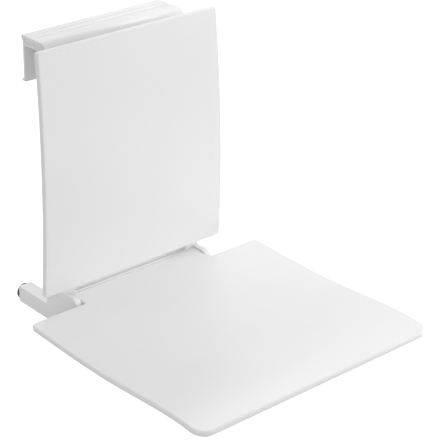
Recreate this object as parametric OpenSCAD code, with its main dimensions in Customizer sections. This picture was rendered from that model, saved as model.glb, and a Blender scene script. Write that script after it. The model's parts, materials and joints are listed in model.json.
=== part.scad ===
// Shower seat with backrest that hangs on a horizontal grab rail and leans on the wall.
// The seat folds up against the backrest. Origin: axis of the rail at the middle of the hook.
// +X along the rail, +Y towards the wall, +Z up. The pieces are drawn from the backrest's
// foremost line (y = 0) and the top of the seat's rear edge (z = 0), then moved to the origin.

/* [Rail] */
// Diameter of the grab rail that the seat hangs on
rail_d = 33; // [30:0.5:35]
// Height of the rail's axis above the top of the seat's rear edge
rail_height = 361; // [340:1:380]
// Distance from the foremost line of the backrest back to the rail's axis
rail_setback = 79.2; // [76:0.1:90]

/* [Hook profile] */
// Length of the hook profile along the rail
hook_len = 262; // [240:1:300]
// Wall of the hook's two legs
hook_wall = 3.5; // [2.5:0.1:5]
// Depth of the rear leg below the rail's axis
hook_rear_reach = 37; // [30:1:45]
// Depth of the front leg below the rail's axis
hook_front_reach = 43; // [38:1:55]
// Lower skin of the hollow top plate
hook_lower_skin = 3.5; // [2.5:0.1:4.5]
// Height of the chambers in the top plate
hook_chamber_h = 6; // [4:0.1:8]
// Upper skin of the top plate
hook_upper_skin = 5.3; // [3.5:0.1:6.5]
// Radius of the rolled nose above the backrest
nose_r = 11; // [9:0.5:13]
// Wall of the rolled nose
nose_wall = 4; // [3:0.1:6]
// Width of the web between the two chambers
hook_web = 4; // [3:0.1:6]
// Overhang of the lip along the rear of the top plate
lip_out = 3; // [1:0.1:5]
// Height of that lip
lip_h = 7.5; // [5:0.1:10]
// Radius of the bead along the foot of the rear leg
bead_r = 2.6; // [1.9:0.1:3.5]
// Width of the shallow grooves along the top plate
groove_w = 1.6; // [1:0.1:3]
// Depth of those grooves
groove_t = 0.6; // [0.3:0.1:1.2]
// Distance between the grooves
groove_pitch = 14.5; // [12:0.5:17]

/* [Rail liners] */
// Soft wall between the rail and the hook's legs
liner_t = 4.5; // [3:0.1:6]
// Length of one liner along the rail
liner_len = 50; // [30:1:70]
// Distance from the middle of the seat to the middle of a liner
liner_x = 66; // [45:1:85]
// Length of the liner's cheeks below the rail's axis
liner_drop = 24; // [15:1:30]
// Widening of the liner's mouth on each side
liner_flare = 0.9; // [0.4:0.1:1.5]
// Gap between the liner's bore and the rail
rail_fit = 0.1; // [0.05:0.01:0.2]

/* [Posts] */
// Width of a post
post_w = 20; // [16:1:22]
// Depth of a post
post_d = 30; // [24:1:34]
// Wall of a post
post_wall = 2; // [1.5:0.1:3]
// Height of a post's top above the rail's axis
post_over_rail = 19; // [12:0.5:20]
// Thickness of a post's cap
cap_t = 2; // [1.5:0.1:3]
// Depth of a cap's plug inside the post
cap_plug = 8; // [6:0.5:9]

/* [Side brackets] */
// Distance from the middle of the seat to a bracket's outer face
bracket_out = 135.7; // [130:0.1:145]
// Width of a bracket
bracket_w = 23.7; // [22:0.1:28]
// Distance from the backrest's foremost line to the front of the bracket's block
bracket_front = 13.7; // [13.5:0.1:18]
// Rear face of the bracket's block behind the rear of the post
bracket_lap = 2.5; // [0:0.1:6]
// Height of the top of the block above the seat
bracket_top = 28; // [15:1:40]
// Drop from the seat's top to the top of the arm
arm_drop = 33; // [28:0.5:40]
// Height of the arm
arm_h = 27; // [22:0.5:32]
// Length of the arm behind the rail's axis
arm_reach = 53.1; // [48:0.1:70]
// Wall of the hollow end of the arm
arm_wall = 3; // [2:0.1:4]
// Depth of the hollow end of the arm
arm_core = 45; // [42:1:55]
// Fillet between the arm and the block
arm_fillet = 5; // [2:0.5:12]
// Thickness of the hinge lug
lug_t = 10; // [8:0.5:12]
// Radius of the lug's round end
lug_r = 14.4; // [12:0.1:16]
// Length of the spigots that carry the posts and the beam
spigot_len = 36; // [20:1:45]
// Gap round the spigots
spigot_gap = 0.2; // [0.1:0.05:0.4]

/* [Cross beam] */
// Depth of the beam
beam_d = 24; // [20:0.5:30]
// Height of the beam's top above the seat's rear edge
beam_top = 0.5; // [-1:0.1:1]
// Wall of the beam
beam_wall = 2.5; // [2:0.1:3.5]
// Thickness of the lip along the beam's upper front edge
beam_lip_t = 2.5; // [2:0.1:4]
// Width of the strip in front of the beam's slot
strip_w = 4.8; // [4.6:0.1:7]
// Width of the slot along the beam's top
slot_w = 6.5; // [4:0.1:9]
// Depth of that slot
slot_t = 7.5; // [5:0.1:10]

/* [Hinge] */
// Distance of the hinge axis in front of the backrest's foremost line
hinge_forward = 8.3; // [8:0.1:10]
// Depth of the hinge axis below the top of the seat's rear edge
hinge_drop = 11; // [10.5:0.1:13]
// Diameter of the hinge rod
rod_d = 10; // [8:0.1:10.4]
// Depth of the rod's ends in the lugs
rod_grip = 6; // [4:0.5:7]
// Wall of a bush
bush_wall = 1.4; // [1:0.1:1.7]
// Radial play of the rod in the bushes
bush_play = 0.08; // [0.05:0.01:0.1]
// Thickness of the bush's flange
bush_flange = 1.2; // [0.8:0.1:1.6]
// Thickness of the washer between a bush and the lug
washer_t = 2.1; // [1.2:0.1:2.4]
// Radius of the bush's flange and of the washers
washer_r = 8.3; // [7.8:0.1:8.6]
// Radius of the carrier's eye
eye_r = 8.8; // [8.6:0.1:9]
// Length of the carrier's eye
eye_len = 22; // [18:0.5:24]

/* [Seat panel] */
// Width of the seat
seat_w = 454; // [400:1:480]
// Length of the seat from its rear edge to its front edge
seat_len = 390.8; // [350:0.1:420]
// Distance from the backrest's foremost line to the seat's rear edge
seat_gap = 27; // [26.5:0.1:34]
// Thickness of the seat panel
seat_t = 9.5; // [7:0.1:10]
// Rounding of the seat's rim
seat_edge = 3; // [2:0.1:3.4]
// Radius of the front corners
seat_front_r = 23; // [15:1:60]
// Radius of the rear corners
seat_rear_r = 10; // [6:1:20]
// Depth of the hollow that one sits in
dip_t = 4.1; // [2:0.1:5]
// Distance from the rear edge to the bottom of that hollow
dip_at = 155; // [120:1:170]
// Height of the crest near the front edge
crest_t = 3.5; // [1:0.1:5]
// Distance from the rear edge to the crest
crest_at = 334; // [290:0.1:345]
// Drop from the crest to the front edge
front_drop = 5.1; // [2:0.1:12]
// Half the width of the tongue at the hinge
tongue_half = 124.4; // [123.5:0.1:124.8]
// Distance from the backrest's foremost line back to the tongue's end
tongue_back = 6.7; // [5:0.1:7.5]
// Thickness of the tongue
tongue_t = 5; // [4:0.1:5.2]
// Radius of the tongue's corners
tongue_r = 4; // [3.5:0.5:12]

/* [Seat carriers] */
// Distance from the middle of the seat to the middle of a carrier's web
carrier_x = 104; // [100:0.5:104]
// Thickness of a carrier's web
web_t = 12; // [8:0.5:14]
// Width of a carrier's flange
flange_w = 38; // [34:1:40]
// Thickness of a carrier's flange
flange_t = 4; // [3:0.5:5]
// Drop from the seat's top to the flange
flange_drop = 15; // [14.6:0.1:17]
// Distance from the backrest's foremost line to the carrier's front end
carrier_reach = 330; // [280:1:360]
// Height of the carrier at its front end
carrier_tip = 9; // [7:0.5:14]
// Depth of the heel below the top of the seat
heel_drop = 57; // [52:0.5:62]
// Height of the heel's bearing face
heel_h = 21; // [18:0.5:24]
// Length of the heel in front of its bearing face
heel_d = 22; // [16:0.5:26]

/* [Backrest panel] */
// Width of the backrest at its top
back_w_top = 337.6; // [300:0.1:360]
// Width of the backrest at its bottom
back_w_bottom = 352; // [310:0.1:370]
// Height of the backrest's bottom edge above the seat
back_z0 = 11.1; // [9:0.1:14]
// Height of the backrest
back_h = 390.7; // [370:0.1:410]
// Thickness of the backrest
back_t = 9; // [7:0.1:10]
// Rounding of the backrest's rim
back_edge = 2.4; // [1.5:0.1:3.4]
// Radius of the backrest's upper corners
back_top_r = 3.5; // [3:0.5:15]
// Radius of the backrest's lower corners
back_bottom_r = 6; // [4:0.5:15]
// Radius of the backrest's bow
bow_r = 2326; // [2200:1:3000]
// Height of the foremost line above the seat
bow_z = 155; // [140:1:180]
// Diameter of the bosses on the back of the panel
boss_d = 18; // [15:1:20]
// Height of the lower pair of bosses
boss_z_low = 90; // [80:1:120]
// Distance from the foot of the hook's front leg down to the upper pair of bosses
boss_below_hook = 18; // [14:1:40]
// Depth of the bore in a boss
boss_bore = 14; // [10:0.5:14]

/* [Wall buffers] */
// Diameter of a rubber buffer
buffer_d = 25.5; // [22:0.5:32]
// Thickness of a rubber buffer
buffer_t = 3; // [3:0.5:10]
// Diameter of the buffer's stud
stud_d = 8; // [6:0.5:10]
// Length of the buffer's stud
stud_len = 40; // [36:1:44]
// Travel of a buffer when it is screwed out
buffer_travel = 12; // [5:1:14]
// Flange of the plug in the end of the arm
plug_flange = 2; // [1.5:0.1:4]
// Length of the plug inside the arm
plug_len = 22; // [18:1:26]

/* [Fasteners] */
// Diameter of the bolts in the posts and the beam
bolt_d = 5; // [4:0.5:6]
// Length of those bolts below their heads
bolt_len = 15; // [8:0.5:15.5]
// Depth of the holes that they go into
bolt_bore = 16; // [15.8:0.1:20]
// Length of the blind rivet nuts in the posts
nut_len = 12; // [8:0.5:14]
// Length of the countersunk screws in the hook
hook_screw_len = 16; // [10:0.5:18]
// Diameter of the bolts that hold the backrest
back_bolt_d = 6; // [5:0.5:7]
// Diameter of the screws under the seat
seat_screw_d = 4; // [3:0.5:5]
// Gap between pieces that don't move against each other
gap = 0.1; // [0.05:0.01:0.2]
// Gap between pieces that move against each other
run = 0.3; // [0.2:0.05:0.4]
// Thickness of the pads that stop the seat
pad_t = 2.8; // [2:0.1:3]

/* [Hidden] */
$fn = 64;
eps = 0.01;
white = [0.93, 0.93, 0.93];
steel = [0.66, 0.67, 0.68];
pale = [0.80, 0.81, 0.82];
black = [0.06, 0.06, 0.06];

// Places along Y, from the backrest's foremost line
leg_gap = rail_d / 2 + liner_t;
front_leg_in = rail_setback - leg_gap;
post_back = front_leg_in - hook_wall;
post_front = post_back - post_d;
rear_leg_in = rail_setback + leg_gap;
rear_leg_out = rear_leg_in + hook_wall;
bracket_back = post_back + bracket_lap;
arm_end = rail_setback + arm_reach;
plug_face = arm_end + plug_flange;
hinge_y = -hinge_forward;
seat_rear = -seat_gap;
seat_front = seat_rear - seat_len;

// Heights above the top of the seat's rear edge
post_top = rail_height + post_over_rail;
boss_z_high = rail_height - hook_front_reach - boss_below_hook;
skin_z = rail_height + leg_gap;
chamber_z = skin_z + hook_lower_skin;
upper_z = chamber_z + hook_chamber_h;
hook_top = upper_z + hook_upper_skin;
arm_top = -arm_drop;
arm_bottom = arm_top - arm_h;
hinge_z = -hinge_drop;
beam_bottom = arm_bottom + 1;
web_z = arm_top - beam_wall;
pad_h = heel_h - 3;
pad_z = -heel_drop + heel_h / 2;

// The tongue's rounded end swings down in front of the beam when the seat folds up
tongue_round = tongue_t / 2 - 0.1;
tongue_sweep = tongue_round + norm([tongue_back - tongue_round - hinge_y,
    seat_z(tongue_back) - tongue_round - hinge_z]);
beam_front = hinge_y + tongue_sweep + run;
beam_lip_front = hinge_y + sqrt(pow(tongue_sweep, 2) - pow(beam_top - beam_lip_t - hinge_z, 2)) + run;
slot_front = beam_lip_front + strip_w;
beam_back = beam_front + beam_d;
pad_face = beam_front - pad_t;
heel_face = pad_face - run;

// Places along X, on the right-hand side
bracket_in = bracket_out - bracket_w;
post_x = bracket_out - bracket_w / 2;
lug_in = bracket_out - lug_t;
washer_in = lug_in - gap - washer_t;
flange_out = washer_in - run;
eye_out = flange_out - bush_flange;
eye_in = eye_out - eye_len;
bush_r = rod_d / 2 + bush_play + bush_wall;
pocket_in = min(eye_in, carrier_x - web_t / 2) - run;

// Fasteners
bolt_r = bolt_d / 2;
bolt_hole = bolt_r + 0.2;
nut_r = bolt_r + 2;
hook_bolt_z = [rail_height - 31, rail_height + 2];
frame_bolt_x = bracket_in - 15;
upper_spigot_z = (web_z + beam_wall + beam_top - slot_t - beam_wall) / 2;
lower_spigot_z = (beam_bottom + beam_wall + web_z) / 2;
post_bolt_z = bracket_top + 22;
back_bolt_r = back_bolt_d / 2;
seat_screw_y = [-75, -190, -305];
seat_screw_x = [-13, 13];
seat_screw_r = seat_screw_d / 2;

// Moves a piece from the drawing's lines to the rail's axis
module place() translate([0, -rail_setback, -rail_height]) children();

// Mirrors a right-hand piece to the left
module on_side(side) mirror([side < 0 ? 1 : 0, 0, 0]) children();

// Extrudes an outline drawn in Y and Z along X
module along_x(x0, x1) translate([x0, 0, 0]) rotate([90, 0, 90]) linear_extrude(x1 - x0) children();

// Round bar along X, along Y or along Z
module bar_x(x0, x1, y, z, r) translate([x0, y, z]) rotate([0, 90, 0]) cylinder(h = x1 - x0, r = r);
module bar_y(x, y0, y1, z, r) translate([x, y1, z]) rotate([90, 0, 0]) cylinder(h = y1 - y0, r = r);
module bar_z(x, y, z0, z1, r) translate([x, y, z0]) cylinder(h = z1 - z0, r = r);

// Box between two corners
module block(a, b) translate(a) cube(b - a);

// Height of the seat's top surface: a hollow, a crest and a front edge that rolls down
function seat_z(y) = let (s = seat_rear - y)
    s < 0 ? -dip_t * PI / 2 * s / dip_at :
    s < dip_at ? -dip_t * sin(90 * s / dip_at) :
    s < crest_at ? -dip_t + (dip_t + crest_t) * (1 - cos(180 * (s - dip_at) / (crest_at - dip_at))) / 2 :
    crest_t - front_drop * pow((s - crest_at) / (seat_len - crest_at), 2);

// Front face of the backrest behind its foremost line, and its back face
function back_y(z) = bow_r - sqrt(bow_r * bow_r - pow(z - bow_z, 2));
function back_rear(z) = back_y(z) + back_t;

// Points of an arc, each with the angle of its outward normal
function arc(x, y, r, a0, a1, n) = [for (i = [0 : n]) let (a = a0 + (a1 - a0) * i / n)
    [x + r * cos(a), y + r * sin(a), a]];

// Right half of a plate's outline from its rear edge to its front edge
function half_outline(w, y0, y1, r0, r1, n0, n1, n) = concat(
    arc(w - r0, y0 - r0, r0, 90, 0, n0),
    [for (i = [1 : n - 1]) [w, y0 - r0 + (y1 + r1 - y0 + r0) * i / n, 0]],
    arc(w - r1, y1 + r1, r1, 0, -90, n1));

// Inset and height of each ring round the rim, from the underside to the top
function rim(t, r, n) = concat(
    [for (i = [0 : n]) let (a = -90 + 90 * i / n) [r - r * cos(a), -t + r + r * sin(a)]],
    [for (i = [0 : n]) let (a = 90 * i / n) [r - r * cos(a), -r + r * sin(a)]]);

// Plate with a rounded rim, bent over the heights that each of its points asks for.
// bend = 0 follows the seat's surface, bend = 1 follows the backrest's bow.
module bent_plate(half, t, r, n, bend, drop) {
    m = len(half);
    rings = rim(t, r, n);
    function spread(u) = bend == 0 ? 1 :
        (back_w_bottom + (back_w_top - back_w_bottom) * (u - back_z0) / back_h) / back_w_bottom;
    function rise(u) = bend == 0 ? seat_z(u) : -back_y(u);
    points = [for (k = rings) for (j = [0 : 2 * m - 1])
        let (p = half[j < m ? j : 2 * m - 1 - j], side = j < m ? 1 : -1, u = p[1] - k[0] * sin(p[2]))
        [side * (p[0] - k[0] * cos(p[2])) * spread(u), u, rise(u) + k[1] - drop]];
    last = (len(rings) - 1) * 2 * m;
    walls = [for (k = [0 : len(rings) - 2]) for (j = [0 : 2 * m - 1])
        let (a = k * 2 * m + j, b = k * 2 * m + (j + 1) % (2 * m))
        each [[a, b, b + 2 * m], [a, b + 2 * m, a + 2 * m]]];
    caps = [for (j = [0 : m - 2]) let (l = 2 * m - 1 - j)
        each [[last + j, last + j + 1, last + l - 1], [last + j, last + l - 1, last + l],
              [j, l - 1, j + 1], [j, l, l - 1]]];
    polyhedron(points, concat(walls, caps), convexity = 6);
}

// Pan-head bolt along Y: the head's seat at y, the shank runs forwards
module bolt_y(x, y, z, r, len, head_r, head_h) {
    bar_y(x, y, y + head_h, z, head_r);
    bar_y(x, y - len, y + eps, z, r);
}

// Hook profile: two legs, a hollow top plate with a rear lip, a bead and a rolled nose
module hook_outline() {
    front_bottom = rail_height - hook_front_reach;
    rear_bottom = rail_height - hook_rear_reach;
    nose_y = front_leg_in;
    nose_z = hook_top - nose_r;
    difference() {
        union() {
            translate([post_back, front_bottom]) square([hook_wall, hook_top - front_bottom - nose_wall]);
            translate([rear_leg_in, rear_bottom]) square([hook_wall, hook_top - rear_bottom]);
            translate([post_back, skin_z]) square([rear_leg_out - post_back, hook_top - skin_z - nose_wall]);
            translate([nose_y, upper_z]) square([rear_leg_out + lip_out - nose_y, hook_upper_skin]);
            translate([rear_leg_in, hook_top - lip_h]) square([hook_wall + lip_out, lip_h]);
            translate([rear_leg_out + bead_r - 0.8, rear_bottom + bead_r]) circle(bead_r);
            intersection() {
                translate([nose_y, nose_z]) difference() {
                    circle(nose_r);
                    circle(nose_r - nose_wall);
                }
                translate([nose_y - nose_r, nose_z]) square(nose_r);
            }
        }
        translate([front_leg_in, chamber_z])
            square([leg_gap - hook_web / 2, hook_chamber_h]);
        translate([rail_setback + hook_web / 2, chamber_z])
            square([leg_gap - hook_web / 2, hook_chamber_h]);
        for (i = [0, 1]) translate([rail_setback + i * groove_pitch - groove_w / 2, hook_top - groove_t])
            square([groove_w, groove_t + 1]);
    }
}

module hook_profile() color(white) place() difference() {
    along_x(-hook_len / 2, hook_len / 2) hook_outline();
    for (side = [-1, 1]) for (z = hook_bolt_z) {
        bar_y(side * post_x, post_back - 1, front_leg_in + 1, z, bolt_hole);
        translate([side * post_x, front_leg_in + eps, z]) rotate([90, 0, 0])
            cylinder(h = hook_wall - 0.5, r1 = bolt_d + gap, r2 = bolt_hole);
    }
}

// Countersunk screws that hold the hook's front leg to the posts
module hook_screws() color(steel) place() for (side = [-1, 1]) for (z = hook_bolt_z) {
    difference() {
        union() {
            translate([side * post_x, front_leg_in - gap, z]) rotate([90, 0, 0])
                cylinder(h = hook_wall - 0.7, r1 = bolt_d, r2 = bolt_r);
            bar_y(side * post_x, front_leg_in - hook_screw_len, front_leg_in - 1, z, bolt_r);
        }
        translate([side * post_x, front_leg_in, z]) rotate([90, 0, 0])
            cylinder(h = 2, r = bolt_r, $fn = 6);
    }
}

// Soft saddle that fills the hook's throat and holds the rail from above
module rail_liner(side) color(pale) place() {
    half = leg_gap - gap;
    bore = rail_d / 2 + rail_fit;
    x = side * liner_x;
    along_x(x - liner_len / 2, x + liner_len / 2) translate([rail_setback, rail_height]) difference() {
        translate([-half, -liner_drop]) square([2 * half, liner_drop + half]);
        circle(bore);
        polygon([[-bore, 0], [bore, 0], [bore + liner_flare, -liner_drop - 1],
            [-bore - liner_flare, -liner_drop - 1]]);
    }
}
module rail_liner_left() rail_liner(-1);
module rail_liner_right() rail_liner(1);

// Upright post: rectangular tube that stands on the bracket's spigot
module post(side) color(white) place() on_side(side) difference() {
    block([post_x - post_w / 2, post_front, bracket_top], [post_x + post_w / 2, post_back, post_top]);
    block([post_x - post_w / 2 + post_wall, post_front + post_wall, bracket_top - 1],
        [post_x + post_w / 2 - post_wall, post_back - post_wall, post_top + 1]);
    for (z = hook_bolt_z) bar_y(post_x, post_back - post_wall - 1, post_back + 1, z, nut_r + gap);
    bar_y(post_x, post_back - post_wall - 1, post_back + 1, post_bolt_z, bolt_hole);
    for (z = [boss_z_low, boss_z_high]) bar_y(post_x, post_front - 1, post_back + 1, z, back_bolt_r + 0.2);
}
module post_left() post(-1);
module post_right() post(1);

// Blind rivet nuts in the rear walls of the posts
module post_nuts() color(steel) place() for (side = [-1, 1]) for (z = hook_bolt_z) difference() {
    union() {
        bar_y(side * post_x, post_back - nut_len, post_back, z, nut_r);
        bar_y(side * post_x, post_back - nut_len, post_back - post_wall - gap, z, nut_r + 1);
    }
    bar_y(side * post_x, post_back - nut_len - 1, post_back + 1, z, bolt_r + gap);
}

// Cap that closes the top of a post
module post_cap(side) color(pale) place() on_side(side) {
    inset = post_wall + gap;
    block([post_x - post_w / 2, post_front, post_top], [post_x + post_w / 2, post_back, post_top + cap_t]);
    block([post_x - post_w / 2 + inset, post_front + inset, post_top - cap_plug],
        [post_x + post_w / 2 - inset, post_back - inset, post_top + eps]);
}
module post_cap_left() post_cap(-1);
module post_cap_right() post_cap(1);

// Outline of the hinge lug: round end, level top edge and a sloping underside
module lug_outline() {
    foot = [bracket_front + 2, arm_bottom + 8];
    away = foot - [hinge_y, hinge_z];
    reach = lug_r - eps;
    turn = atan2(away[1], away[0]) - acos(reach / norm(away));
    translate([hinge_y, hinge_z]) circle(lug_r);
    polygon([[hinge_y, hinge_z + lug_r], [bracket_front + 2, hinge_z + lug_r], foot,
        [hinge_y + reach * cos(turn), hinge_z + reach * sin(turn)], [hinge_y, hinge_z]]);
}

// Side bracket: block behind the backrest, arm to the wall, hinge lug and three spigots
module side_bracket(side) color(white) place() on_side(side) {
    inset = post_wall + spigot_gap;
    beam_inset = beam_wall + spigot_gap;
    difference() {
        union() {
            along_x(bracket_in, bracket_out) {
                translate([bracket_front, arm_bottom])
                    square([bracket_back - bracket_front, bracket_top - arm_bottom]);
                translate([bracket_front, arm_bottom]) square([arm_end - bracket_front, arm_h]);
                difference() {
                    translate([bracket_back - 1, arm_top - 1]) square(arm_fillet + 1);
                    translate([bracket_back + arm_fillet, arm_top + arm_fillet]) circle(arm_fillet);
                }
            }
            along_x(lug_in, bracket_out) lug_outline();
            block([post_x - post_w / 2 + inset, post_front + inset, bracket_top - 1],
                [post_x + post_w / 2 - inset, post_back - inset, bracket_top + spigot_len]);
            block([bracket_in - spigot_len, beam_front + beam_inset, web_z + beam_inset],
                [bracket_in + 1, beam_back - beam_inset, beam_top - slot_t - beam_inset]);
            block([bracket_in - spigot_len, beam_front + beam_inset, beam_bottom + beam_inset],
                [bracket_in + 1, beam_back - beam_inset, web_z - spigot_gap]);
        }
        bar_x(lug_in - 1, lug_in + rod_grip, hinge_y, hinge_z, rod_d / 2 + 0.05);
        block([bracket_in + arm_wall, arm_end - arm_core, arm_bottom + arm_wall],
            [bracket_out - arm_wall, arm_end + 1, arm_top - arm_wall]);
        bar_y(post_x, post_back - bolt_bore, post_back, post_bolt_z, bolt_r + gap);
        for (z = [upper_spigot_z, lower_spigot_z])
            bar_y(frame_bolt_x, beam_back - bolt_bore, beam_back, z, bolt_r + gap);
    }
}
module side_bracket_left() side_bracket(-1);
module side_bracket_right() side_bracket(1);

// Plug in the open end of the arm, threaded for the buffer's stud
module arm_plug(side) color(white) place() on_side(side) difference() {
    inset = arm_wall + gap;
    union() {
        block([bracket_in, arm_end, arm_bottom], [bracket_out, plug_face, arm_top]);
        block([bracket_in + inset, arm_end - plug_len, arm_bottom + inset],
            [bracket_out - inset, arm_end + eps, arm_top - inset]);
    }
    bar_y(post_x, arm_end - plug_len - 1, plug_face + 1, (arm_bottom + arm_top) / 2, stud_d / 2 + gap);
}
module arm_plug_left() arm_plug(-1);
module arm_plug_right() arm_plug(1);

// Cross beam between the brackets: two chambers and a slot along its top
module cross_beam() color(white) place() difference() {
    along_x(-bracket_in, bracket_in) difference() {
        union() {
            translate([beam_front, beam_bottom]) square([beam_d, beam_top - beam_bottom]);
            translate([beam_lip_front, beam_top - beam_lip_t]) square([strip_w, beam_lip_t]);
        }
        translate([slot_front, beam_top - slot_t]) square([slot_w, slot_t + 1]);
        translate([beam_front + beam_wall, web_z + beam_wall])
            square([beam_d - 2 * beam_wall, beam_top - slot_t - web_z - 2 * beam_wall]);
        translate([beam_front + beam_wall, beam_bottom + beam_wall])
            square([beam_d - 2 * beam_wall, web_z - beam_bottom - beam_wall]);
    }
    for (side = [-1, 1]) {
        for (z = [upper_spigot_z, lower_spigot_z])
            bar_y(side * frame_bolt_x, beam_back - beam_wall - 1, beam_back + 1, z, bolt_hole);
        bar_y(side * carrier_x, beam_front - 1, beam_front + beam_wall + 1, pad_z, 2.5 + gap);
    }
}

// Pads on the beam that the carriers' heels rest on when the seat is down
module stop_pads() color(black) place() for (side = [-1, 1]) {
    x = side * carrier_x;
    block([x - web_t / 2 + 1, pad_face, pad_z - pad_h / 2], [x + web_t / 2 - 1, beam_front, pad_z + pad_h / 2]);
    bar_y(x, beam_front - eps, beam_front + beam_wall - spigot_gap, pad_z, 2.5);
}

// Bolts through the beam's and the posts' rear walls into the brackets' spigots
module frame_screws() color(steel) place() for (side = [-1, 1]) {
    for (z = [upper_spigot_z, lower_spigot_z])
        bolt_y(side * frame_bolt_x, beam_back, z, bolt_r, bolt_len, bolt_d, 3);
    bolt_y(side * post_x, post_back, post_bolt_z, bolt_r, bolt_len, bolt_d, 3);
}

// Backrest: bowed plate with four bosses on its back
module backrest_panel() color(white) place() {
    half = half_outline(back_w_bottom / 2, back_z0 + back_h, back_z0,
        back_top_r, back_bottom_r, 5, 5, 24);
    difference() {
        union() {
            rotate([90, 0, 0]) bent_plate(half, back_t, back_edge, 3, 1, 0);
            for (side = [-1, 1]) for (z = [boss_z_low, boss_z_high])
                bar_y(side * post_x, back_rear(z) - 2, post_front, z, boss_d / 2);
        }
        for (side = [-1, 1]) for (z = [boss_z_low, boss_z_high])
            bar_y(side * post_x, post_front - boss_bore, post_front + 1, z, back_bolt_r + gap);
    }
}

// Long bolts from behind through the posts into the backrest's bosses
module backrest_screws() color(steel) place()
    for (side = [-1, 1]) for (z = [boss_z_low, boss_z_high])
        bolt_y(side * post_x, post_back, z, back_bolt_r, post_d + boss_bore - 2, back_bolt_d, 3.2);

module hinge_rod() color(steel) place()
    bar_x(-lug_in - rod_grip + gap, lug_in + rod_grip - gap, hinge_y, hinge_z, rod_d / 2);

// Washers between the bushes' flanges and the lugs
module hinge_washers() color(pale) place() for (side = [-1, 1]) on_side(side) difference() {
    bar_x(washer_in, washer_in + washer_t, hinge_y, hinge_z, washer_r);
    bar_x(washer_in - 1, washer_in + washer_t + 1, hinge_y, hinge_z, rod_d / 2 + 0.05);
}

// Flanged bush in the carrier's eye
module hinge_bush(side) color(pale) place() on_side(side) difference() {
    union() {
        bar_x(eye_in, eye_out + eps, hinge_y, hinge_z, bush_r);
        bar_x(eye_out, flange_out, hinge_y, hinge_z, washer_r);
    }
    bar_x(eye_in - 1, flange_out + 1, hinge_y, hinge_z, rod_d / 2 + bush_play);
}
module hinge_bush_left() hinge_bush(-1);
module hinge_bush_right() hinge_bush(1);

// Seat: waved plate with a tongue at the hinge, bosses below and pockets for the eyes
module seat_panel() color(white) place() {
    half = half_outline(seat_w / 2, seat_rear, seat_front, seat_rear_r, seat_front_r, 5, 12, 36);
    tongue = half_outline(tongue_half, tongue_back, seat_rear - 30, tongue_r, tongue_r, 6, 3, 8);
    difference() {
        union() {
            bent_plate(half, seat_t, seat_edge, 3, 0, 0);
            bent_plate(tongue, tongue_t, tongue_round, 3, 0, 0.02);
            for (side = [-1, 1]) for (y = seat_screw_y) for (dx = seat_screw_x)
                bar_z(side * carrier_x + dx, y, -flange_drop, seat_z(y) - seat_t + 2, 6);
        }
        for (side = [-1, 1]) {
            on_side(side) bar_x(pocket_in, tongue_half + 1, hinge_y, hinge_z, eye_r + 2 * run);
            for (y = seat_screw_y) for (dx = seat_screw_x)
                bar_z(side * carrier_x + dx, y, -flange_drop - 1, seat_z(y) - 3, seat_screw_r + gap);
        }
    }
}

// Carrier under the seat: eye at the hinge, tapered web, screw flange and a heel
module seat_carrier(side) color(pale) place() on_side(side) {
    flange_z = -flange_drop;
    tip = -carrier_reach;
    difference() {
        union() {
            along_x(carrier_x - web_t / 2, carrier_x + web_t / 2) {
                translate([hinge_y, hinge_z]) circle(eye_r);
                polygon([[hinge_y - 4, flange_z], [tip, flange_z], [tip, flange_z - carrier_tip],
                    [hinge_y - 52, -heel_drop + heel_h], [heel_face - heel_d, -heel_drop],
                    [heel_face, -heel_drop], [heel_face, -heel_drop + heel_h],
                    [hinge_y + eye_r * cos(30), hinge_z - eye_r * sin(30)], [hinge_y, hinge_z]]);
            }
            bar_x(eye_in, eye_out, hinge_y, hinge_z, eye_r);
            block([carrier_x - flange_w / 2, tip, flange_z - flange_t],
                [carrier_x + flange_w / 2, seat_rear - 14, flange_z]);
        }
        bar_x(carrier_x - flange_w, eye_out + 1, hinge_y, hinge_z, bush_r + 0.02);
        for (y = seat_screw_y) for (dx = seat_screw_x)
            bar_z(carrier_x + dx, y, flange_z - flange_t - 1, flange_z + 1, seat_screw_r + 0.3);
    }
}
module seat_carrier_left() seat_carrier(-1);
module seat_carrier_right() seat_carrier(1);

// Screws from below through the carriers' flanges into the seat's bosses
module seat_screws() color(steel) place()
    for (side = [-1, 1]) for (y = seat_screw_y) for (dx = seat_screw_x) {
        x = side * carrier_x + dx;
        seat_z0 = -flange_drop - flange_t;
        bar_z(x, y, seat_z0 - 2.6, seat_z0, 2 * seat_screw_r);
        bar_z(x, y, seat_z0 - eps, seat_z(y) - 4, seat_screw_r);
    }

// Stud of a wall buffer with the disc that its rubber is bonded to
module buffer_stud(side) color(steel) place() {
    z = (arm_bottom + arm_top) / 2;
    bar_y(side * post_x, plug_face + run + 1.5 - stud_len, plug_face + run + 1.5, z, stud_d / 2);
    bar_y(side * post_x, plug_face + run, plug_face + run + 1.5, z, buffer_d / 2 - 3);
}
module buffer_stud_left() buffer_stud(-1);
module buffer_stud_right() buffer_stud(1);

// Rubber buffer with a rounded rim that leans on the wall
module buffer_pad(side) color(black) place() {
    r = buffer_d / 2;
    translate([side * post_x, plug_face + run, (arm_bottom + arm_top) / 2]) rotate([-90, 0, 0])
    difference() {
        rotate_extrude() {
            square([r - 1.5, buffer_t]);
            square([r, buffer_t - 1.5]);
            translate([r - 1.5, buffer_t - 1.5]) circle(1.5);
        }
        translate([0, 0, -1]) cylinder(h = 2.5 + gap, r = r - 3 + gap);
    }
}
module buffer_pad_left() buffer_pad(-1);
module buffer_pad_right() buffer_pad(1);

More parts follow.
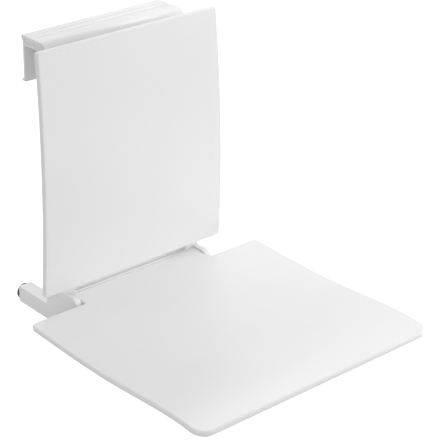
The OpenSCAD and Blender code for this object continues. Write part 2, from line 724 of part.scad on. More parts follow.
hook_profile();
rail_liner_left();
rail_liner_right();
hook_screws();
post_left();
post_right();
post_nuts();
post_cap_left();
post_cap_right();
side_bracket_left();
side_bracket_right();
arm_plug_left();
arm_plug_right();
cross_beam();
stop_pads();
frame_screws();
backrest_panel();
backrest_screws();
hinge_rod();
hinge_washers();
hinge_bush_left();
hinge_bush_right();
seat_panel();
seat_carrier_left();
seat_carrier_right();
seat_screws();
buffer_stud_left();
buffer_stud_right();
buffer_pad_left();
buffer_pad_right();
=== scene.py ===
import json
import math

import bmesh
import bpy
from mathutils import Matrix, Vector


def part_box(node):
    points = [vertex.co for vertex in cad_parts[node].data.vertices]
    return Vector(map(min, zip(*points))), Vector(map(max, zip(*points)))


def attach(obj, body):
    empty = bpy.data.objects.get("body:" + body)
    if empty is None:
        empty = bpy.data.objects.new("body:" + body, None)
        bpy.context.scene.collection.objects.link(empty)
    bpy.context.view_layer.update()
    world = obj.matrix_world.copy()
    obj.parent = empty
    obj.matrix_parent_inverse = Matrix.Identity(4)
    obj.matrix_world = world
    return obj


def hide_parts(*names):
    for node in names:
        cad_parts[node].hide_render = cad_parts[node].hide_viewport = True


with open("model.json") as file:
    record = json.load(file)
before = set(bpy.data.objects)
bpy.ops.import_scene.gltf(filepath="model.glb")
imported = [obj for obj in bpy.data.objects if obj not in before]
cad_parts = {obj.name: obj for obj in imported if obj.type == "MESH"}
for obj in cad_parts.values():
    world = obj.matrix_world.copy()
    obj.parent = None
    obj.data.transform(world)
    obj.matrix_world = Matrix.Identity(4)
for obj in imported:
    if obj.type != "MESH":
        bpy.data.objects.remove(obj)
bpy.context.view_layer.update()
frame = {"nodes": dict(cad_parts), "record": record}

mm = 0.001
white = "#EEEEEE"
# from the drawing's corner, at the backrest's foremost line and the seat's top, to the rail's axis
toRail = Vector((0, -79.2, -361))


def hexToLinear(code):
    parts = [int(code[i:i + 2], 16) / 255 for i in (1, 3, 5)]
    return tuple(c / 12.92 if c <= 0.04045 else ((c + 0.055) / 1.055) ** 2.4 for c in parts) + (1.0,)


def addNode(tree, kind, links=None, **settings):
    # a tuple among the links is a sum of its own: (operation, value, value)
    node = tree.nodes.new(kind)
    for key, value in settings.items():
        setattr(node, key, value)
    for where, value in (links or {}).items():
        if isinstance(value, tuple) and isinstance(value[0], str):
            value = addNode(tree, "ShaderNodeMath", dict(enumerate(value[1:])), operation=value[0]).outputs[0]
        if isinstance(value, bpy.types.NodeSocket):
            tree.links.new(value, node.inputs[where])
        else:
            node.inputs[where].default_value = value
    return node


def newMaterial(name):
    material = bpy.data.materials.new(name)
    material.use_nodes = True
    tree = material.node_tree
    tree.nodes.clear()
    return material, tree


def coatedWhite(name, colour, roughness, waveMm, depthMm, speckMm):
    # a white surface with a low wave, a fine grain and a trace of unevenness in tone and gloss
    uneven = {"cloudMm": 90, "darker": 0.99, "gloss": 0.03, "grainShare": 0.4}
    material, tree = newMaterial(name)
    place = addNode(tree, "ShaderNodeTexCoord").outputs["Object"]
    wave = addNode(tree, "ShaderNodeTexNoise", {"Vector": place, "Scale": 1 / (waveMm * mm), "Detail": 2.0,
        "Roughness": 0.45})
    speck = addNode(tree, "ShaderNodeTexNoise", {"Vector": place, "Scale": 1 / (speckMm * mm), "Detail": 3.0,
        "Roughness": 0.6})
    cloud = addNode(tree, "ShaderNodeTexNoise", {"Vector": place, "Scale": 1 / (uneven["cloudMm"] * mm),
        "Detail": 2.0})
    tone = addNode(tree, "ShaderNodeValToRGB", {"Fac": cloud.outputs["Fac"]})
    low, high = tone.color_ramp.elements
    low.position = 0.3
    high.position = 0.7
    low.color = [c * uneven["darker"] for c in hexToLinear(colour)[:3]] + [1]
    high.color = hexToLinear(colour)
    gloss = addNode(tree, "ShaderNodeMapRange", {"Value": speck.outputs["Fac"], "From Min": 0.3,
        "From Max": 0.7, "To Min": roughness - uneven["gloss"], "To Max": roughness + uneven["gloss"]})
    peel = addNode(tree, "ShaderNodeBump", {"Height": wave.outputs["Fac"], "Strength": 1.0,
        "Distance": depthMm * mm})
    grain = addNode(tree, "ShaderNodeBump", {"Height": speck.outputs["Fac"], "Strength": 1.0,
        "Distance": depthMm * uneven["grainShare"] * mm, "Normal": peel.outputs["Normal"]})
    shader = addNode(tree, "ShaderNodeBsdfPrincipled", {"Base Color": tone.outputs["Color"],
        "Roughness": gloss.outputs["Result"], "Normal": grain.outputs["Normal"], "IOR": 1.5})
    addNode(tree, "ShaderNodeOutputMaterial", {"Surface": shader.outputs["BSDF"]})
    return material


def plainMoulded(name, colour, roughness, grainMm, depthMm, shine=0.5):
    # moulded rubber or plastic: matt, with the grain of a spark-eroded mould
    material, tree = newMaterial(name)
    place = addNode(tree, "ShaderNodeTexCoord").outputs["Object"]
    grain = addNode(tree, "ShaderNodeTexNoise", {"Vector": place, "Scale": 1 / (grainMm * mm), "Detail": 3.0})
    tone = addNode(tree, "ShaderNodeMix", {"Factor": grain.outputs["Fac"]}, data_type="RGBA")
    for socket, share in ((6, 0.9), (7, 1.1)):  # the mix's two colours, darker and lighter
        tone.inputs[socket].default_value = [min(1, c * share) for c in hexToLinear(colour)[:3]] + [1]
    bump = addNode(tree, "ShaderNodeBump", {"Height": grain.outputs["Fac"], "Distance": depthMm * mm})
    shader = addNode(tree, "ShaderNodeBsdfPrincipled", {"Base Color": tone.outputs[2],
        "Roughness": roughness, "Specular IOR Level": shine, "Normal": bump.outputs["Normal"]})
    addNode(tree, "ShaderNodeOutputMaterial", {"Surface": shader.outputs["BSDF"]})
    return material


def turnedSteel(name, colour, roughness):
    # stainless steel off a lathe: fine tool marks that stretch the highlights
    marksMm, depthMm, uneven = 0.8, 0.01, 0.08
    material, tree = newMaterial(name)
    place = addNode(tree, "ShaderNodeTexCoord").outputs["Object"]
    marks = addNode(tree, "ShaderNodeTexNoise", {"Vector": place, "Scale": 1 / (marksMm * mm), "Detail": 4.0})
    gloss = addNode(tree, "ShaderNodeMapRange", {"Value": marks.outputs["Fac"], "To Min": roughness - uneven,
        "To Max": roughness + uneven})
    bump = addNode(tree, "ShaderNodeBump", {"Height": marks.outputs["Fac"], "Distance": depthMm * mm})
    shader = addNode(tree, "ShaderNodeBsdfPrincipled", {"Base Color": hexToLinear(colour), "Metallic": 1.0,
        "Roughness": gloss.outputs["Result"], "Normal": bump.outputs["Normal"]})
    addNode(tree, "ShaderNodeOutputMaterial", {"Surface": shader.outputs["BSDF"]})
    return material


finishes = {
    # powder sprayed on aluminium and baked: it flows into a faint orange peel with an even satin sheen
    "powder_white": coatedWhite("powderCoatedAluminium", white, 0.24, 1.6, 0.012, 0.5),
    # polyurethane foamed against a blasted mould: a closed skin, duller than the frame, with broad lights
    "panel_white": coatedWhite("mouldedPolyurethane", white, 0.33, 3.0, 0.01, 0.7),
    # small polyamide mouldings: the blasted mould leaves them nearly matt beside the coated metal
    "plug_white": coatedWhite("mouldedPolyamide", white, 0.5, 2.0, 0.008, 0.6),
    # soft elastomer strip, extruded: grey, dull and a little uneven where it drags on the rail
    "liner_grey": plainMoulded("softElastomer", "#9FA1A2", 0.7, 0.6, 0.02),
    # acetal turned or moulded to size: waxy, pale and smoother than the rubber
    "bearing_grey": plainMoulded("mouldedAcetal", "#CDCECD", 0.4, 0.8, 0.01),
    # stainless bar off the lathe: mirror-like, broken up by fine tool marks
    "stainless": turnedSteel("turnedStainless", "#C6C5C2", 0.3),
    # rubber pressed in a grained mould: near black, and it hardly reflects the white studio
    "rubber_black": plainMoulded("mouldedRubber", "#121212", 0.6, 0.5, 0.03, 0.25),
}
print("materials: done")

slotOf = {row["node"]: row["material_slot"] for row in frame["record"]["subparts"]}
bodyOf = {node: body for body, nodes in frame["record"]["behaviour"]["bodies"].items() for node in nodes}


def keep(piece, body, slot, *nodes):
    # a finished piece: finish, body and the CAD nodes that it stands for
    piece.data.materials.clear()
    piece.data.materials.append(finishes[slot])
    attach(piece, body)
    if nodes:
        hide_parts(*nodes)


def newObject(name, mesh):
    piece = bpy.data.objects.new(name, mesh)
    bpy.context.scene.collection.objects.link(piece)
    return piece


def smoothByAngle(mesh, angle):
    # rounded faces shade smoothly, edges sharper than the angle stay crisp
    sharpest = math.radians(angle)
    shape = bmesh.new()
    shape.from_mesh(mesh)
    for face in shape.faces:
        face.smooth = True
    for edge in shape.edges:
        edge.smooth = not edge.is_manifold or edge.calc_face_angle(0) < sharpest
    shape.to_mesh(mesh)
    shape.free()


def newMesh(name, shape, angle=None):
    # the edited shape becomes a plain mesh
    mesh = bpy.data.meshes.new(name)
    shape.to_mesh(mesh)
    shape.free()
    if angle:
        smoothByAngle(mesh, angle)
    return mesh


def bake(piece):
    # live modifiers become one plain mesh
    plain = bpy.data.meshes.new_from_object(piece.evaluated_get(bpy.context.evaluated_depsgraph_get()))
    piece.modifiers.clear()
    piece.data = plain
    return piece


def cornerArc(centre, radius, start, end, steps):
    # points of an arc with their outward directions; a negative radius is a hollow corner
    points = []
    for i in range(steps + 1):
        a = math.radians(start + (end - start) * i / steps)
        out = Vector((math.cos(a), math.sin(a)))
        points.append((Vector(centre) + out * abs(radius), out if radius > 0 else -out))
    return points


def straightSide(x, start, end, steps):
    # points between two corners of a side that looks to the right, the corners' own points left out
    return [(Vector((x, start + (end - start) * i / steps)), Vector((1, 0))) for i in range(1, steps)]


def plateMesh(name, half, rim, shoulder=None):
    # a flat plate from half its outline, (place, outward direction, thickness, rounding) from rear to front,
    # with a rounded rim and a narrow flat ring inside it that keeps the faces' shading true
    flat = 0.8  # width of that ring, mm
    quarter = [math.radians(90 * i / rim) for i in range(rim + 1)]
    rings = [(1, flat, -1, 0)]  # inset, further inset, share of the thickness, lift
    rings += [(1 - math.sin(a), 0, -1, 1 - math.cos(a)) for a in quarter]
    rings += [(1 - math.cos(a), 0, 0, math.sin(a) - 1) for a in quarter]
    rings += [(1, flat, 0, 0)]
    shape = bmesh.new()
    grid = []
    for inset, extra, depth, lift in rings:
        row = []
        for side in (1, -1):
            for point, out, thick, rounding in half if side > 0 else half[::-1]:
                place = point - out * (inset * rounding + extra)
                row.append(shape.verts.new((side * place.x * mm, place.y * mm,
                    (depth * thick + lift * rounding) * mm)))
        grid.append(row)
    total = 2 * len(half)
    for low, high in zip(grid, grid[1:]):
        for j in range(total):
            k = (j + 1) % total
            shape.faces.new((low[j], low[k], high[k], high[j]))
    for row, up in ((grid[-1], True), (grid[0], False)):
        j = 0
        while j < len(half) - 1:
            right, left = [row[j]], [row[total - 1 - j]]
            if j == shoulder:  # the shoulder's points lie on one line, so they join the next strip
                j += 1
                right.append(row[j])
                left.append(row[total - 1 - j])
            j += 1
            right.append(row[j])
            left.append(row[total - 1 - j])
            loop = right + left[::-1]
            shape.faces.new(loop if up else loop[::-1])
    bmesh.ops.recalc_face_normals(shape, faces=shape.faces)
    return newMesh(name, shape, 40)


def newTree(name, sizes):
    # a node tree with a named input for each size, given by its value or its type; returns the inputs too
    tree = bpy.data.node_groups.new(name, "GeometryNodeTree")
    tree.interface.new_socket("Geometry", in_out="INPUT", socket_type="NodeSocketGeometry")
    tree.interface.new_socket("Geometry", in_out="OUTPUT", socket_type="NodeSocketGeometry")
    kinds = {float: "NodeSocketFloat", tuple: "NodeSocketVector", bpy.types.Object: "NodeSocketObject",
        bpy.types.Material: "NodeSocketMaterial"}
    for label, value in sizes.items():
        kind = value if isinstance(value, type) else type(value)
        tree.interface.new_socket(label, in_out="INPUT", socket_type=kinds[kind])
    return tree, addNode(tree, "NodeGroupInput").outputs


def closeTree(tree, shape, material):
    # each tree ends in real geometry with its finish
    real = addNode(tree, "GeometryNodeRealizeInstances", {"Geometry": shape})
    dressed = addNode(tree, "GeometryNodeSetMaterial", {"Geometry": real.outputs[0], "Material": material})
    addNode(tree, "NodeGroupOutput", {0: dressed.outputs[0]})


def runTree(piece, tree, sizes):
    # sizes go to the modifier by each socket's identifier, then the result is kept as a plain mesh
    modifier = piece.modifiers.new(tree.name, "NODES")
    modifier.node_group = tree
    for socket in tree.interface.items_tree:
        if socket.in_out == "INPUT" and socket.name in sizes:
            modifier[socket.identifier] = sizes[socket.name]
    return bake(piece)


def clamped(value):
    # for addNode: the value held between 0 and 1
    return "MINIMUM", ("MAXIMUM", value, 0.0), 1.0


def seatOutline(seat):
    # the right half, from the tongue's rear edge round to the front edge
    front = seat["rear"] - seat["length"]
    thick, thin = (seat["thickness"], seat["rounding"]), (seat["tongueThickness"], seat["tongueRounding"])
    r = seat["tongueRadius"]
    half = [p + thin for p in cornerArc((seat["tongueHalf"] - r, seat["tongueBack"] - r), r, 90, 0, 8)]
    r = seat["innerRadius"]
    hollow = cornerArc((seat["tongueHalf"] + r, seat["rear"] + r), -r, 180, 270, 6)
    for i, p in enumerate(hollow):  # the plate thickens round the hollow corner
        share = i / 6 * i / 6 * (3 - 2 * i / 6)  # slow at both ends
        half.append(p + (thin[0] + (thick[0] - thin[0]) * share, thin[1] + (thick[1] - thin[1]) * share))
    shoulder = len(half) - 1
    r, rFront = seat["rearRadius"], seat["frontRadius"]
    half += [p + thick for p in cornerArc((seat["halfWidth"] - r, seat["rear"] - r), r, 90, 0, 8)]
    half += [p + thick for p in straightSide(seat["halfWidth"], seat["rear"] - r, front + rFront, 52)]
    half += [p + thick for p in cornerArc((seat["halfWidth"] - rFront, front + rFront), rFront, 0, -90, 14)]
    return half, shoulder


def buildSeat():
    seat = {"halfWidth": 227, "rear": -27, "length": 390.8, "thickness": 9.5, "rounding": 3,
        "frontRadius": 23, "rearRadius": 10, "innerRadius": 2, "tongueRadius": 4,
        "tongueHalf": 124.4, "tongueBack": 6.7, "tongueThickness": 5, "tongueRounding": 2.4,
        "dipDepth": 4.1, "dipPlace": 155, "crestHeight": 3.5, "crestPlace": 334, "frontDrop": 5.1,
        "hingeY": -8.3, "hingeZ": -11, "pocketRadius": 9.4, "pocketInner": 97.7, "pocketOuter": 126}
    sizes = {"Rear Edge": seat["rear"] * mm, "Length": seat["length"] * mm,
        "Dip Depth": seat["dipDepth"] * mm, "Dip Place": seat["dipPlace"] * mm,
        "Crest Height": seat["crestHeight"] * mm, "Crest Place": seat["crestPlace"] * mm,
        "Front Drop": seat["frontDrop"] * mm, "To Rail": tuple(toRail * mm),
        "Material": finishes["panel_white"]}
    # from the rear: a quarter wave down into the dip, half a wave up to the crest, then a falling front edge
    tree, given = newTree("seatWave", sizes)
    place = addNode(tree, "GeometryNodeInputPosition").outputs[0]
    along = addNode(tree, "ShaderNodeSeparateXYZ", {0: place}).outputs["Y"]
    ahead = ("SUBTRACT", given["Rear Edge"], along)
    dip, dipAt = given["Dip Depth"], given["Dip Place"]
    crest, crestAt = given["Crest Height"], given["Crest Place"]
    quarter = math.pi / 2
    behind = ("MULTIPLY", ("DIVIDE", ("MULTIPLY", dip, -quarter), dipAt), ("MINIMUM", ahead, 0.0))
    intoDip = ("MULTIPLY", dip, ("SINE", ("MULTIPLY", quarter, clamped(("DIVIDE", ahead, dipAt)))))
    climb = clamped(("DIVIDE", ("SUBTRACT", ahead, dipAt), ("SUBTRACT", crestAt, dipAt)))
    eased = ("MULTIPLY", 0.5, ("SUBTRACT", 1.0, ("COSINE", ("MULTIPLY", math.pi, climb))))
    rise = ("MULTIPLY", ("ADD", dip, crest), eased)
    past = ("MAXIMUM", ("DIVIDE", ("SUBTRACT", ahead, crestAt), ("SUBTRACT", given["Length"], crestAt)), 0.0)
    fall = ("MULTIPLY", given["Front Drop"], ("POWER", past, 2.0))
    wave = ("SUBTRACT", ("ADD", behind, rise), ("ADD", intoDip, fall))
    lift = addNode(tree, "ShaderNodeCombineXYZ", {2: wave}).outputs[0]
    shift = addNode(tree, "ShaderNodeVectorMath", {0: lift, 1: given["To Rail"]}, operation="ADD").outputs[0]
    moved = addNode(tree, "GeometryNodeSetPosition", {"Geometry": given["Geometry"], "Offset": shift})
    closeTree(tree, moved.outputs[0], given["Material"])
    half, shoulder = seatOutline(seat)
    panel = newObject("seatPanel", plateMesh("seatPanel", half, 6, shoulder))
    runTree(panel, tree, sizes)

    across = Matrix.Rotation(math.radians(90), 4, "Y")
    radius, depth = seat["pocketRadius"] * mm, (seat["pocketOuter"] - seat["pocketInner"]) * mm
    for side in (1, -1):  # pockets for the carriers' eyes in the tongue's underside
        x = side * (seat["pocketInner"] + seat["pocketOuter"]) / 2
        middle = Vector((x, seat["hingeY"], seat["hingeZ"]))
        cutter = bmesh.new()
        bmesh.ops.create_cone(cutter, cap_ends=True, segments=96, radius1=radius, radius2=radius, depth=depth,
            matrix=Matrix.Translation((middle + toRail) * mm) @ across)
        tool = newObject("pocket", newMesh("pocket", cutter))
        cut = panel.modifiers.new("pocket", "BOOLEAN")
        cut.operation = "DIFFERENCE"
        cut.solver = "EXACT"
        cut.object = tool
        bake(panel)
        bpy.data.objects.remove(tool)
    smoothByAngle(panel.data, 40)
    keep(panel, "seat", "panel_white", "seat_panel")


def buildBackrest():
    back = {"halfWidth": 176, "bottom": 11.1, "height": 390.7, "thickness": 9, "rounding": 2.4,
        "topRadius": 3.5, "bottomRadius": 6, "topShare": 337.6 / 352, "bowRadius": 2326, "bowHeight": 155}
    body = (back["thickness"], back["rounding"])
    wide, low, high = back["halfWidth"], back["bottom"], back["bottom"] + back["height"]
    r, rLow = back["topRadius"], back["bottomRadius"]
    half = [p + body for p in cornerArc((wide - r, high - r), r, 90, 0, 6)]
    half += [p + body for p in straightSide(wide, high - r, low + rLow, 48)]
    half += [p + body for p in cornerArc((wide - rLow, low + rLow), rLow, 0, -90, 8)]

    sizes = {"Bow Radius": back["bowRadius"] * mm, "Bow Height": back["bowHeight"] * mm, "Bottom": low * mm,
        "Height": back["height"] * mm, "Taper": back["topShare"], "To Rail": tuple(toRail * mm),
        "Material": finishes["panel_white"]}
    # the flat plate is stood up, bowed on a large radius and narrowed towards its top
    tree, given = newTree("backrestBow", sizes)
    place = addNode(tree, "GeometryNodeInputPosition").outputs[0]
    x, up, depth = addNode(tree, "ShaderNodeSeparateXYZ", {0: place}).outputs
    radius = given["Bow Radius"]
    away = ("SUBTRACT", up, given["Bow Height"])
    bow = ("SUBTRACT", radius, ("SQRT", ("SUBTRACT", ("MULTIPLY", radius, radius), ("POWER", away, 2.0))))
    upShare = ("DIVIDE", ("SUBTRACT", up, given["Bottom"]), given["Height"])
    spread = ("ADD", 1.0, ("MULTIPLY", ("SUBTRACT", given["Taper"], 1.0), upShare))
    upright = addNode(tree, "ShaderNodeCombineXYZ", {0: ("MULTIPLY", x, spread), 1: ("SUBTRACT", bow, depth),
        2: up}).outputs[0]
    there = addNode(tree, "ShaderNodeVectorMath", {0: upright, 1: given["To Rail"]}, operation="ADD")
    moved = addNode(tree, "GeometryNodeSetPosition", {"Geometry": given["Geometry"],
        "Position": there.outputs[0]})
    closeTree(tree, moved.outputs[0], given["Material"])
    panel = newObject("backrestPanel", plateMesh("backrestPanel", half, 5))
    runTree(panel, tree, sizes)
    keep(panel, "frame", "panel_white", "backrest_panel")


def turned(name, profile, steps, socket=None):
    # a turned piece along Z from (radius, height) pairs, top first; a socket is (radius, depth) of a hexagon
    shape = bmesh.new()

    def ring(radius, height, count):
        return [shape.verts.new((radius * mm * math.cos(a), radius * mm * math.sin(a), height * mm))
            for a in (math.tau * i / count for i in range(count))]

    rings = [ring(radius, height, steps) for radius, height in profile]
    for high, low in zip(rings, rings[1:]):
        for i in range(steps):
            k = (i + 1) % steps
            shape.faces.new((high[k], high[i], low[i], low[k]))
    shape.faces.new(rings[-1][::-1])
    if socket:
        radius, depth = socket
        top = profile[0][1]
        rim, floor = ring(radius, top, 6), ring(radius, top - depth, 6)
        each = steps // 6
        for i in range(6):
            k = (i + 1) % 6
            outer = [rings[0][(i * each + j) % steps] for j in range(each + 1)]
            shape.faces.new(outer + [rim[k], rim[i]])
            shape.faces.new((rim[i], rim[k], floor[k], floor[i]))
        shape.faces.new(floor)
    else:
        shape.faces.new(rings[0])
    return newMesh(name, shape, 35)


def patternTree():
    # the same piece at each of the points, and at their mirrored places on the left
    tree, given = newTree("bothSides", {"Piece": bpy.types.Object, "Turn": tuple,
        "Material": bpy.types.Material})
    place = addNode(tree, "GeometryNodeInputPosition").outputs[0]
    left = addNode(tree, "ShaderNodeVectorMath", {0: place, 1: (-1, 1, 1)}, operation="MULTIPLY").outputs[0]
    mirrored = addNode(tree, "GeometryNodeSetPosition", {"Geometry": given["Geometry"], "Position": left})
    points = addNode(tree, "GeometryNodeJoinGeometry", {0: given["Geometry"]})
    tree.links.new(mirrored.outputs[0], points.inputs[0])
    piece = addNode(tree, "GeometryNodeObjectInfo", {"Object": given["Piece"]})
    turn = addNode(tree, "FunctionNodeEulerToRotation", {0: given["Turn"]})
    copies = addNode(tree, "GeometryNodeInstanceOnPoints", {"Points": points.outputs[0],
        "Instance": piece.outputs["Geometry"], "Rotation": turn.outputs[0]})
    closeTree(tree, copies.outputs[0], given["Material"])
    return tree


bothSides = patternTree()
towardsWall, upwards, downwards = (-90, 0, 0), (0, 0, 0), (180, 0, 0)  # turns of a piece made along Z


def buildPattern(name, mesh, places, turn, body, slot, *nodes):
    # places: right-hand points in the drawing's millimetres
    points = bpy.data.meshes.new(name)
    points.from_pydata([(Vector(p) + toRail) * mm for p in places], [], [])
    model = newObject(name + "Model", mesh)
    piece = runTree(newObject(name, points), bothSides, {"Piece": model,
        "Turn": tuple(math.radians(a) for a in turn), "Material": finishes[slot]})
    bpy.data.objects.remove(model)
    keep(piece, body, slot, *nodes)


def buildScrews():
    fixing = {"steps": 36, "postX": 123.85, "frameX": 97, "carrierX": (91, 117),
        "postFront": 24.7, "postBack": 54.7, "hookLeg": 58.1, "seatRows": (-75, -190, -305),
        "hookHeights": (330, 363), "bracketHeight": 50, "beamHeights": (-21.25, -46),
        "backHeights": (90, 300), "seatScrewHead": -19, "seatBossEnd": -15}
    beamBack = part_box("cross_beam")[1][1] / mm - toRail.y
    steps = fixing["steps"]

    def panHead(r, h, shank, length, hexagon, depth):
        # head with a softly domed rim, its bearing face at height 0, and a chamfered shank below it
        profile = [(r * 0.72, h), (r * 0.86, h * 0.93), (r * 0.95, h * 0.76), (r, h * 0.5), (r, 0.25),
            (r - 0.25, 0), (shank + 0.2, 0), (shank, -0.2), (shank, 1 - length), (shank - 0.7, -length)]
        return turned("screw", profile, steps, (hexagon, depth))

    bolt = panHead(5, 3, 2.5, 15, 2.5, 1.8)
    longBolt = panHead(6, 3.2, 3, 42, 3, 2)
    seatScrew = panHead(4, 2.6, 2, 10.5, 2, 1.5)
    countersunk = turned("screw", [(4.75, 0), (4.95, -0.15), (2.6, -2.7), (2.5, -2.9), (2.5, -15),
        (1.8, -15.9)], steps, (2.5, 2))
    seatBoss = turned("boss", [(6.6, 9), (6, 7), (6, 0.6), (5.4, 0)], steps)
    backBoss = turned("boss", [(8.2, 0), (9, -0.8), (9.2, -16.7)], steps)

    hookPlaces = [(fixing["postX"], fixing["hookLeg"], z) for z in fixing["hookHeights"]]
    framePlaces = [(fixing["postX"], fixing["postBack"], fixing["bracketHeight"])]
    framePlaces += [(fixing["frameX"], beamBack, z) for z in fixing["beamHeights"]]
    backPlaces = [(fixing["postX"], fixing["postBack"], z) for z in fixing["backHeights"]]
    bossPlaces = [(fixing["postX"], fixing["postFront"], z) for z in fixing["backHeights"]]
    seatPlaces = [(x, y, fixing["seatScrewHead"]) for x in fixing["carrierX"] for y in fixing["seatRows"]]
    rimPlaces = [(x, y, fixing["seatBossEnd"]) for x in fixing["carrierX"] for y in fixing["seatRows"]]
    buildPattern("hookScrews", countersunk, hookPlaces, towardsWall, "frame", "stainless", "hook_screws")
    buildPattern("frameScrews", bolt, framePlaces, towardsWall, "frame", "stainless", "frame_screws")
    buildPattern("backrestScrews", longBolt, backPlaces, towardsWall, "frame", "stainless", "backrest_screws")
    buildPattern("seatScrews", seatScrew, seatPlaces, downwards, "seat", "stainless", "seat_screws")
    buildPattern("seatBosses", seatBoss, rimPlaces, upwards, "seat", "panel_white")
    buildPattern("backrestBosses", backBoss, bossPlaces, towardsWall, "frame", "panel_white")


def roundedBlock(name, size, rounding):
    # a small moulding with all its edges rounded
    shape = bmesh.new()
    bmesh.ops.create_cube(shape, size=1.0, matrix=Matrix.Diagonal((*(s * mm for s in size), 1.0)))
    bmesh.ops.bevel(shape, geom=shape.edges[:], offset=rounding * mm, segments=3, profile=0.5, affect="EDGES")
    return newMesh(name, shape, 50)


def buildPlugs():
    # moulded plugs that close the ends of the hook's two chambers, a little below the end faces
    plug = {"width": 18.8, "height": 5.8, "depth": 4.0, "recess": 1.2, "rounding": 0.5,
        "chamberHeight": 388.5, "chambers": (67.7, 90.7)}
    mesh = roundedBlock("plug", (plug["depth"], plug["width"], plug["height"]), plug["rounding"])
    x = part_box("hook_profile")[1][0] / mm - plug["recess"] - plug["depth"] / 2
    places = [(x, y, plug["chamberHeight"]) for y in plug["chambers"]]
    buildPattern("chamberPlugs", mesh, places, upwards, "frame", "plug_white")


def buildLips():
    # the brackets' part of the beam's lip: it carries the lip on from the beam's end to the hinge lug
    lip = {"across": (111.8, 126.0), "deep": (7.5, 14.5), "high": (-1.9, 0.4), "rounding": 0.4}
    spans = lip["across"], lip["deep"], lip["high"]
    mesh = roundedBlock("lip", [end - start for start, end in spans], lip["rounding"])
    centre = [(start + end) / 2 for start, end in spans]
    buildPattern("bracketLips", mesh, [centre], upwards, "frame", "powder_white")


def buildPads():
    # rubber pads that bulge a little between the wall and the stud's disc
    pad = {"bulge": 1.15, "edge": 1.3, "discRadius": 9.85, "discDepth": 1.6, "steps": 48}
    for side in ("left", "right"):
        low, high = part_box("buffer_pad_" + side)
        radius, thick = (high[0] - low[0]) / 2 / mm, (high[1] - low[1]) / mm
        full = radius + pad["bulge"]
        profile = [(radius - pad["edge"], thick), (radius + 0.1, thick - 0.25), (full - 0.25, thick * 0.75),
            (full, thick * 0.5), (full - 0.4, thick * 0.2), (radius, 0), (pad["discRadius"], 0),
            (pad["discRadius"], pad["discDepth"])]
        mesh = turned("pad", profile, pad["steps"])
        centre = ((low[0] + high[0]) / 2, low[1], (low[2] + high[2]) / 2)
        mesh.transform(Matrix.Translation(centre) @ Matrix.Rotation(math.radians(-90), 4, "X"))
        piece = newObject("bufferPad" + side.title(), mesh)
        keep(piece, "buffer_" + side, "rubber_black", "buffer_pad_" + side)


easedEdges = {  # width in mm by which each CAD node's sharp edges are eased
    "hook_profile": 0.4, "rail_liner_left": 0.5, "rail_liner_right": 0.5, "post_left": 0.8, "post_right": 0.8,
    "post_nuts": 0, "post_cap_left": 0.6, "post_cap_right": 0.6, "side_bracket_left": 1.0,
    "side_bracket_right": 1.0, "arm_plug_left": 0.7, "arm_plug_right": 0.7, "cross_beam": 0.4,
    "stop_pads": 0.7, "hinge_rod": 0.5, "hinge_washers": 0.3, "hinge_bush_left": 0.2,
    "hinge_bush_right": 0.2, "seat_carrier_left": 0.8, "seat_carrier_right": 0.8, "buffer_stud_left": 0.4,
    "buffer_stud_right": 0.4}
broadEdges = {  # a wider width, and the corners of the box that holds these edges: the hinge lugs' outer rims
    "side_bracket_left": (3.2, (-136, -30, -20), (-135.5, 14, 4)),
    "side_bracket_right": (3.2, (135.5, -30, -20), (136, 14, 4))}


def softened(node, width):
    # a CAD node's copy with its sharp edges eased, as a cast, drawn or moulded piece has them
    angle = 30  # degrees at which two faces meet in an edge that counts as sharp
    broad = broadEdges.get(node)
    mesh = frame["nodes"][node].data.copy()
    shape = bmesh.new()
    shape.from_mesh(mesh)
    bmesh.ops.remove_doubles(shape, verts=shape.verts, dist=0.01 * mm)
    bmesh.ops.dissolve_limit(shape, angle_limit=math.radians(0.5), verts=shape.verts, edges=shape.edges)
    if width:
        share = shape.edges.layers.float.new("bevel_weight_edge")
        for edge in shape.edges:
            if edge.calc_face_angle(0) > math.radians(angle):
                ends = [v.co / mm - toRail for v in edge.verts]
                wide = broad and all(low <= c <= high for end in ends
                    for low, c, high in zip(broad[1], end, broad[2]))
                edge[share] = 1.0 if wide or not broad else width / broad[0]
    shape.to_mesh(mesh)
    shape.free()
    piece = newObject(node.title().replace("_", ""), mesh)
    if width:
        for face in mesh.polygons:
            face.use_smooth = True
        bevel = piece.modifiers.new("bevel", "BEVEL")
        bevel.width = (broad[0] if broad else width) * mm
        bevel.segments = 3
        bevel.limit_method = "WEIGHT"
        bevel.harden_normals = True
        bake(piece)
    else:
        smoothByAngle(mesh, angle)
    keep(piece, bodyOf[node], slotOf[node], node)


buildSeat()
buildBackrest()
print("seat and backrest: done")
buildScrews()
buildPlugs()
buildLips()
buildPads()
print("screws, bosses, plugs, lips and pads: done")
for node, width in easedEdges.items():
    softened(node, width)
print("frame pieces: done")


def setCamera():
    # the photograph's viewpoint: millimetres, degrees and metres
    view = {"lens": 135.62, "sensor": 36, "azimuth": -41.594, "elevation": 25.832, "roll": 0.975,
        "place": (-1.44624, -1.90258, 0.85884)}
    a, e, r = (math.radians(view[k]) for k in ("azimuth", "elevation", "roll"))
    back = Vector((math.sin(a) * math.cos(e), -math.cos(a) * math.cos(e), math.sin(e)))
    right = Vector((math.cos(a), math.sin(a), 0))
    up = back.cross(right)
    right, up = right * math.cos(r) + up * math.sin(r), up * math.cos(r) - right * math.sin(r)
    camera = newObject("camera", bpy.data.cameras.new("camera"))
    camera.data.sensor_width = view["sensor"]
    camera.data.lens = view["lens"]
    camera.data.clip_end = 50
    turn = Matrix((right, up, back)).transposed().to_4x4()
    camera.matrix_world = Matrix.Translation(view["place"]) @ turn
    bpy.context.scene.camera = camera


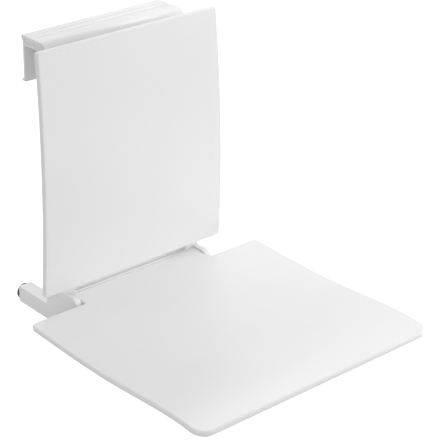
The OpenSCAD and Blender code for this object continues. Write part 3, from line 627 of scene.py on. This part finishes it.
def shownShare(tree):
    # 1 for a ray from the camera or a reflection, 0 for light on its way to the object
    rays = addNode(tree, "ShaderNodeLightPath").outputs
    return "MAXIMUM", rays["Is Camera Ray"], ("MAXIMUM", rays["Is Glossy Ray"], rays["Is Transmission Ray"])


def setStudio():
    # the floor and the sky show white, and throw less than that on the object
    studio = {"floorHeight": -0.833, "floorSize": 12.0, "floorSeen": "#F0F0F0", "floorBounce": "#BCBCBC",
        "floorGlow": 0.6, "worldStrength": 0.4}
    world = bpy.data.worlds.new("studio")
    bpy.context.scene.world = world
    world.use_nodes = True
    tree = world.node_tree
    tree.nodes.clear()
    strength = addNode(tree, "ShaderNodeMapRange", {"Value": shownShare(tree),
        "To Min": studio["worldStrength"], "To Max": 1.0}).outputs["Result"]
    background = addNode(tree, "ShaderNodeBackground", {"Color": (1, 1, 1, 1), "Strength": strength})
    addNode(tree, "ShaderNodeOutputWorld", {"Surface": background.outputs["Background"]})

    size = studio["floorSize"]
    mesh = bpy.data.meshes.new("floor")
    mesh.from_pydata([(x, y, studio["floorHeight"]) for x, y in
        ((-size, -size), (size, -size), (size, size), (-size, size))], [], [(0, 1, 2, 3)])
    floor = newObject("floor", mesh)
    material, tree = newMaterial("paleFloor")
    matt = addNode(tree, "ShaderNodeBsdfDiffuse", {"Color": hexToLinear(studio["floorSeen"])})
    bounce = addNode(tree, "ShaderNodeBsdfDiffuse", {"Color": hexToLinear(studio["floorBounce"])})
    glow = addNode(tree, "ShaderNodeEmission", {"Color": (1, 1, 1, 1), "Strength": studio["floorGlow"]})
    both = addNode(tree, "ShaderNodeAddShader", {0: matt.outputs[0], 1: glow.outputs[0]})
    choice = addNode(tree, "ShaderNodeMixShader", {0: shownShare(tree), 1: bounce.outputs[0],
        2: both.outputs[0]})
    addNode(tree, "ShaderNodeOutputMaterial", {"Surface": choice.outputs[0]})
    mesh.materials.append(material)

    lamps = {  # place, aimed at, width, height, power in watts
        "backBox": ((0.3, 2.4, 1.2), (0.0, -0.2, -0.3), 1.8, 1.8, 8.5),
        "backLeftBox": ((-1.6, 1.5, 1.4), (0.0, -0.2, -0.3), 1.5, 1.5, 8.5),
        "backRightBox": ((1.5, 1.4, 0.9), (0.0, -0.25, -0.3), 1.5, 1.5, 4.0),
        "upperRightBox": ((1.7, 0.16, 1.34), (0.12, 0.0, -0.19), 2.4, 0.95, 6.2),
        "rightLowBox": ((2.1, -0.8, 0.0), (0.0, -0.2, -0.3), 1.2, 1.2, 14.2),
        "streakBox": ((1.48, 0.14, 1.57), (-0.1, -0.01, 0.05), 1.6, 0.35, 7.5),
        "frontRightBox": ((1.8, -1.6, 0.4), (0.0, -0.1, -0.2), 1.5, 1.5, 17.1),
        "cameraBox": ((-1.7, -1.9, 0.3), (-0.05, 0.0, 0.0), 1.4, 1.4, 5.9),
        "fillBox": ((-2.19, -2.47, 1.42), (0.0, -0.1, -0.15), 0.7, 0.7, 19.0),
    }
    for name, (place, aim, width, height, power) in lamps.items():
        lamp = bpy.data.lights.new(name, "AREA")
        lamp.shape = "RECTANGLE"
        lamp.size = width
        lamp.size_y = height
        lamp.energy = power
        holder = newObject(name, lamp)
        holder.location = place
        holder.rotation_euler = (Vector(aim) - Vector(place)).to_track_quat("-Z", "Y").to_euler()
    bpy.context.scene.view_settings.view_transform = "Standard"


setCamera()
setStudio()
print("camera and studio: done")
